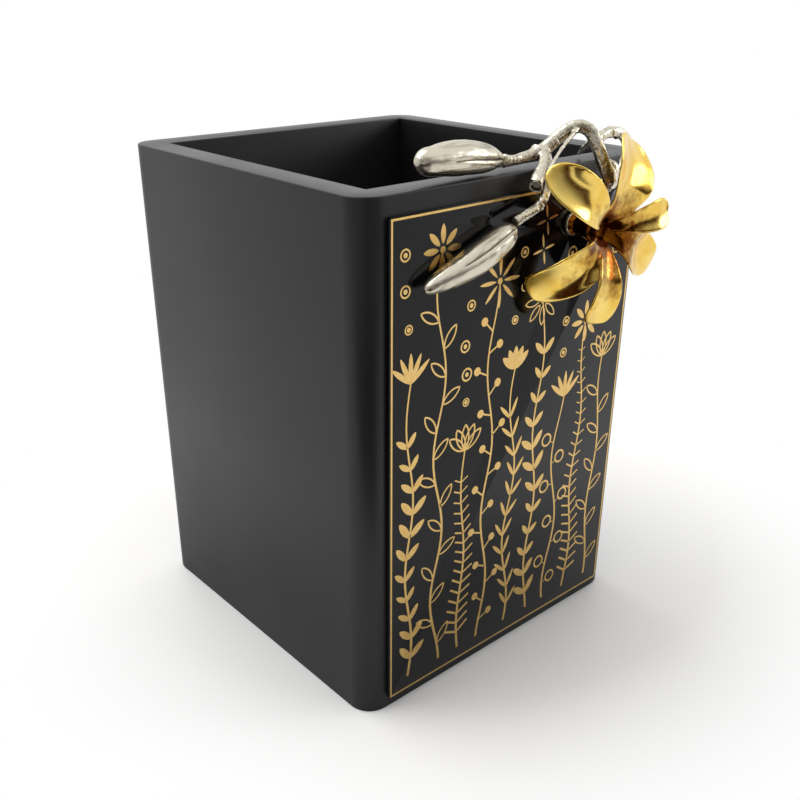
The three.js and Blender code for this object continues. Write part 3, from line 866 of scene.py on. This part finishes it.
class HOLDER_OT_print(bpy.types.Operator):
    """Prints the gold border and a meadow of climbing stems, leaves, berries and rings on the plaque"""

    bl_idname = "holder.print"
    bl_label = "Gold print"

    def execute(self, context):
        sheet = PrintSheet(context)
        sheet.border()
        for number in range(len(STEMS)):
            sheet.climbing_stem(number)

        # Loose seeds drift over the stems that end lower, column by column
        scatter = random.Random(7)
        for number, (across, height, *_) in enumerate(STEMS):
            up = height + SEED_GAP
            while up < SEED_TOP:
                x = PLAQUE_LOW.x + (across + scatter.uniform(-SEED_DRIFT, SEED_DRIFT)) * MM
                sheet.loose_seed(number, x, PLAQUE_LOW.z + up * MM, scatter)
                up += scatter.uniform(*SEED_SPACING)

        gold = sheet.joined()
        edit_all(gold)
        bpy.ops.mesh.extrude_region_move(TRANSFORM_OT_translate={"value": (0, -sizes().print_thickness, 0)})
        bpy.ops.mesh.select_all(action="SELECT")
        bpy.ops.mesh.normals_make_consistent(inside=False)
        leave_edit()
        dress(gold, "gold_print", foil_print(), "gold_print")
        return {"FINISHED"}


def draw_out(obj, foot, tip, stretch):
    """Gives a piece lengthwise coordinates, drawn out from foot to tip, for a pattern that lies that way."""
    turn = (tip - foot).rotation_difference(Vector((0, 0, 1)))
    lie = obj.data.attributes.new("lie", "FLOAT_VECTOR", "POINT")
    for vertex in obj.data.vertices:
        place = turn @ (vertex.co - foot)
        lie.data[vertex.index].vector = (place.x, place.y, place.z / stretch)


def far_ends(obj):
    """The two ends of a long piece, the one further right first."""
    points = [vertex.co for vertex in obj.data.vertices]
    middle = sum(points, Vector()) / len(points)
    first = max(points, key=lambda point: (point - middle).length)
    second = max(points, key=lambda point: (point - first).length)
    return (first.copy(), second.copy()) if first.x > second.x else (second.copy(), first.copy())


# Leaf scars that ring the twig, in mm: how thick and how deep they are, then each one's place, the direction
# of the stem there, and its radius
SCAR_THICKNESS = 0.2
SCAR_DEPTH = 0.05
LEAF_SCARS = (
    ((-3.1, -34.5, 101.8), (1.0, -0.1, -0.2), 1.1),
    ((5.1, -34.8, 102.4), (1.0, -0.1, 0.25), 1.4),
    ((8.7, -35.5, 104.2), (0.8, -0.25, 0.55), 1.2),
    ((19.4, -39.5, 105.2), (1.0, 0.0, 0.1), 1.0),
    ((21.6, -39.5, 104.8), (1.0, 0.0, -0.3), 0.98),
    ((-1.3, -40.5, 98.1), (1.9, 1.0, 1.2), 1.12),
    ((-0.9, -41.2, 94.9), (1.0, 0.0, 0.55), 0.86),
)


class HOLDER_OT_twig(bpy.types.Operator):
    """Makes the cast twig with soft joints, ringed leaf scars and a worn surface"""

    bl_idname = "holder.twig"
    bl_label = "Twig"

    def execute(self, context):
        twig = copy_of("branch")
        apply_modifier(twig, "REMESH", mode="VOXEL", voxel_size=0.15 * MM)
        apply_modifier(twig, "SMOOTH", factor=0.5, iterations=12)
        parts = [twig]
        for place, along, radius in LEAF_SCARS:
            deselect_all()
            bpy.ops.mesh.primitive_torus_add(
                location=Vector(place) * MM, rotation=Vector(along).to_track_quat("Z", "Y").to_euler(),
                major_radius=(radius - SCAR_DEPTH) * MM, minor_radius=SCAR_THICKNESS * MM,
                major_segments=24, minor_segments=8,
            )
            parts.append(place_applied(context.object))
        join_pieces(parts)
        apply_modifier(twig, "REMESH", mode="VOXEL", voxel_size=0.13 * MM)
        apply_modifier(twig, "SMOOTH", factor=0.5, iterations=3)
        ruffle(twig, "bark", grain=1.1 * MM, depth=2, strength=0.13 * MM, level=0.55)
        # The twig winds, so its pattern isn't drawn out
        draw_out(twig, Vector((0, 0, 0)), Vector((0, 0, 1)), 1.0)
        smooth(twig, 80)
        dress(twig, "silver_twig", antique_silver(), "silver_plate", "branch")
        return {"FINISHED"}


# The upper bud's knob: how far it goes back from the tip, how it is widened, and how softly that ends
KNOB_REACH = 0.9 * MM
KNOB_STRETCH = (1.0, 1.2, 1.34)
KNOB_BLEND = 4.5 * MM

# How many times as long as wide the plating's folds are on a bud
FOLD_STRETCH = 7.0


class HOLDER_OT_buds(bpy.types.Operator):
    """Makes the two closed buds with folded sepals"""

    bl_idname = "holder.buds"
    bl_label = "Buds"

    def execute(self, context):
        plating = bpy.data.materials.get("antique_silver_plating") or antique_silver()

        def between_sepals(edge):
            return edge.is_manifold and edge.calc_face_angle_signed() < -math.radians(18)

        for node in ("upper_bud", "lower_bud"):
            bud = copy_of(node)
            # The folds between the sepals stay sharp when the bud is smoothed
            edit_selected(bud, "edges", between_sepals)
            bpy.ops.transform.edge_crease(value=0.9)
            leave_edit()
            seam = bud.data.attributes.new("seam", "FLOAT", "POINT")
            for vertex in bud.data.vertices:
                seam.data[vertex.index].value = float(vertex.select)
            apply_modifier(bud, "SUBSURF", levels=3, render_levels=3)
            if node == "upper_bud":
                # This bud ends in a blunt knob
                tip = far_ends(bud)[1]
                edit_selected(bud, "verts", lambda v: (v.co - tip).length < KNOB_REACH)
                bpy.ops.transform.resize(
                    value=KNOB_STRETCH, center_override=tip, use_proportional_edit=True,
                    proportional_edit_falloff="SMOOTH", proportional_size=KNOB_BLEND,
                )
                leave_edit()
            ruffle(bud, "folds", grain=2.2 * MM, depth=1, strength=0.14 * MM, level=0.6)
            draw_out(bud, *far_ends(bud), FOLD_STRETCH)
            smooth(bud, 80)
            dress(bud, "silver_" + node, plating, "silver_plate", node)
        return {"FINISHED"}


# The part of the flower that doesn't bend, and how much further out the petals bend in full
CALYX_RADIUS = 3 * MM
PETAL_RISE = 5 * MM


class HOLDER_OT_flower(bpy.types.Operator):
    """Makes the gold plated flower with smooth rounded petals"""

    bl_idname = "holder.flower"
    bl_label = "Flower"

    def execute(self, context):
        flower = copy_of("flower")
        apply_modifier(flower, "SUBSURF", levels=2, render_levels=2)
        # The thin petals bend a little to and fro, and the calyx that carries them stays true
        petals = flower.vertex_groups.new(name="petals")
        for vertex in flower.data.vertices:
            out = math.hypot(vertex.co.x - SCREW_MIDDLE.x, vertex.co.z - SCREW_MIDDLE.z)
            share = min(1.0, max(0.0, (out - CALYX_RADIUS) / PETAL_RISE))
            petals.add([vertex.index], share, "REPLACE")
        ruffle(
            flower, "petal_waves", grain=9 * MM, depth=0, strength=2.4 * MM, level=0.44,
            direction="Y", vertex_group="petals",
        )
        smooth(flower, 80)
        dress(flower, "gold_flower", gold_plating(), "gold_plate", "flower")
        return {"FINISHED"}


class HOLDER_OT_screw(bpy.types.Operator):
    """Finishes the fixing screw"""

    bl_idname = "holder.screw"
    bl_label = "Fixing screw"

    def execute(self, context):
        screw = finish_solid("fixing_screw", zinc_steel())
        smooth(screw, 30)
        return {"FINISHED"}


# The stage, in metres: the floor's radius, and the corners and height over the table of the dark card that
# stands in for shade
FLOOR_RADIUS = 4
CARD_CORNERS = (
    (-0.035, -0.105), (-0.115, -0.075), (-0.6, -0.02), (-0.6, -0.9),
    (0.2, -0.9), (0.12, -0.52), (-0.015, -0.3),
)
CARD_HEIGHT = 0.002

# The soft boxes: name, place and size in metres, and power in watts. All point at one place in the box
SOFT_BOXES = (
    ("key_light", (-0.25, 0.4, 0.85), 0.9, 5.5),
    ("side_window", (0.72, -0.52, 0.34), 0.4, 1.6),
)
LIT_PLACE = Vector((0, 0, 0.05))

# The direction in which the room is lightest
ROOM_LIGHT = Vector((0.45, 0.5, 0.74)).normalized()

# The camera: its place in metres, direction, roll in degrees, and lens
CAMERA_PLACE = (-0.126552, -0.146702, 0.129085)
CAMERA_FORWARD = Vector((0.60234, 0.67935, -0.41913))
CAMERA_ROLL = 0.32
LENS = {
    "sensor_width": 36,
    "lens": 42.386,
    "shift_x": 0.0023,
    "shift_y": 0.0256,
    "clip_start": 0.01,
    "clip_end": 20,
}


def soft_box(context, name, place, size, power):
    """A round soft light that points at the object."""
    lamp = bpy.data.lights.new(name, "AREA")
    lamp.shape = "DISK"
    lamp.size = size
    lamp.energy = power
    obj = bpy.data.objects.new(name, lamp)
    obj.location = place
    obj.rotation_euler = (LIT_PLACE - Vector(place)).to_track_quat("-Z", "Y").to_euler()
    context.scene.collection.objects.link(obj)


def pale_room():
    """A pale room: white behind and above, greyer in front, with a dim warm corner low on the viewer's side.
    The camera itself sees plain white."""
    world = bpy.data.worlds.new("pale_room")
    world.use_nodes = True
    tree = world.node_tree
    tree.nodes.clear()
    direction = add_node(tree, "ShaderNodeTexCoord").outputs["Generated"]
    lit = add_node(tree, "ShaderNodeVectorMath", {"operation": "DOT_PRODUCT", 1: ROOM_LIGHT}, {0: direction})
    front = add_node(tree, "ShaderNodeVectorMath", {"operation": "DOT_PRODUCT", 1: (0, -1, 0)}, {0: direction})
    top = add_node(tree, "ShaderNodeVectorMath", {"operation": "DOT_PRODUCT", 1: (0, 0, 1)}, {0: direction})
    level = add_node(
        tree, "ShaderNodeMapRange", {"From Min": -0.25, "From Max": 0.35, "To Min": 0.38}, {"Value": lit}
    )
    grey = add_node(tree, "ShaderNodeCombineColor", links={"Red": level, "Green": level, "Blue": level})
    in_front = add_node(tree, "ShaderNodeMapRange", {"From Min": 0.6, "From Max": 0.8}, {"Value": front})
    low = add_node(
        tree, "ShaderNodeMapRange", {"From Min": 0.1, "From Max": 0.3, "To Min": 1.0, "To Max": 0.0},
        {"Value": top},
    )
    dim = add_node(tree, "ShaderNodeMath", {"operation": "MULTIPLY"}, {0: in_front, 1: low})
    room = add_node(
        tree, "ShaderNodeMix", {"data_type": "RGBA", SECOND: linear("381a10")}, {SHARE: dim, FIRST: grey}
    )
    camera_ray = add_node(tree, "ShaderNodeLightPath").outputs["Is Camera Ray"]
    seen = add_node(
        tree, "ShaderNodeMix", {"data_type": "RGBA", SECOND: linear("ffffff")},
        {SHARE: camera_ray, FIRST: room},
    )
    background = add_node(tree, "ShaderNodeBackground", {"Strength": 1.0}, {"Color": seen})
    add_node(tree, "ShaderNodeOutputWorld", links={"Surface": background})
    return world


def picture_camera(context):
    """The camera of the picture, turned about its own axis by its roll."""
    lens = bpy.data.cameras.new("camera")
    for name, value in LENS.items():
        setattr(lens, name, value)
    camera = bpy.data.objects.new("camera", lens)
    context.scene.collection.objects.link(camera)
    roll = math.radians(CAMERA_ROLL)
    level_right = CAMERA_FORWARD.cross(Vector((0, 0, 1))).normalized()
    level_up = level_right.cross(CAMERA_FORWARD)
    right = math.cos(roll) * level_right + math.sin(roll) * level_up
    up = -math.sin(roll) * level_right + math.cos(roll) * level_up
    turned = Matrix((right, up, -CAMERA_FORWARD)).transposed().to_4x4()
    camera.matrix_world = Matrix.Translation(CAMERA_PLACE) @ turned
    return camera


class HOLDER_OT_stage(bpy.types.Operator):
    """Makes the pale floor, the soft studio light and the camera"""

    bl_idname = "holder.stage"
    bl_label = "Stage"

    def execute(self, context):
        deselect_all()
        bpy.ops.mesh.primitive_circle_add(vertices=96, radius=FLOOR_RADIUS, fill_type="NGON")
        floor = context.object
        floor.name = "floor"
        floor.data.materials.append(pale_floor())

        for values in SOFT_BOXES:
            soft_box(context, *values)

        # A dark card lies on the table just outside the picture, as painted shade for the dark photographer's
        # side of it. It shades nothing, and only the polished metal and the gloss show it, as a painted
        # reflection of that shade.
        card = flat_piece(context, CARD_CORNERS)
        card.location.z = CARD_HEIGHT
        place_applied(card)
        card.name = "dark_card"
        card.visible_camera = card.visible_diffuse = card.visible_shadow = card.visible_transmission = False
        card.data.materials.append(black_velvet())

        context.scene.world = pale_room()
        context.scene.camera = picture_camera(context)
        context.scene.view_settings.view_transform = "Standard"
        return {"FINISHED"}


class HOLDER_PT_panel(bpy.types.Panel):
    """Lists the pieces in the 3D view's sidebar"""

    bl_idname = "HOLDER_PT_panel"
    bl_label = "Stationery holder"
    bl_space_type = "VIEW_3D"
    bl_region_type = "UI"
    bl_category = "Holder"

    def draw(self, context):
        for group in (context.scene.holder_sizes, context.scene.holder_colours):
            for name in group.__annotations__:
                self.layout.prop(group, name)
        for operator in PIECES:
            self.layout.operator(operator.bl_idname)


PIECES = (
    HOLDER_OT_stage,
    HOLDER_OT_box,
    HOLDER_OT_plaque,
    HOLDER_OT_print,
    HOLDER_OT_twig,
    HOLDER_OT_buds,
    HOLDER_OT_flower,
    HOLDER_OT_screw,
)
CLASSES = (HolderSizes, HolderColours, *PIECES, HOLDER_PT_panel)


def register():
    for cls in CLASSES:
        bpy.utils.register_class(cls)
    bpy.types.Scene.holder_sizes = bpy.props.PointerProperty(type=HolderSizes)
    bpy.types.Scene.holder_colours = bpy.props.PointerProperty(type=HolderColours)


def unregister():
    del bpy.types.Scene.holder_colours
    del bpy.types.Scene.holder_sizes
    for cls in reversed(CLASSES):
        bpy.utils.unregister_class(cls)


def main():
    register()
    bpy.ops.holder.stage()
    bpy.ops.holder.box()
    bpy.ops.holder.plaque()
    bpy.ops.holder.print()
    bpy.ops.holder.twig()
    bpy.ops.holder.buds()
    bpy.ops.holder.flower()
    bpy.ops.holder.screw()
    bpy.context.view_layer.update()


if __name__ == "__main__":
    main()
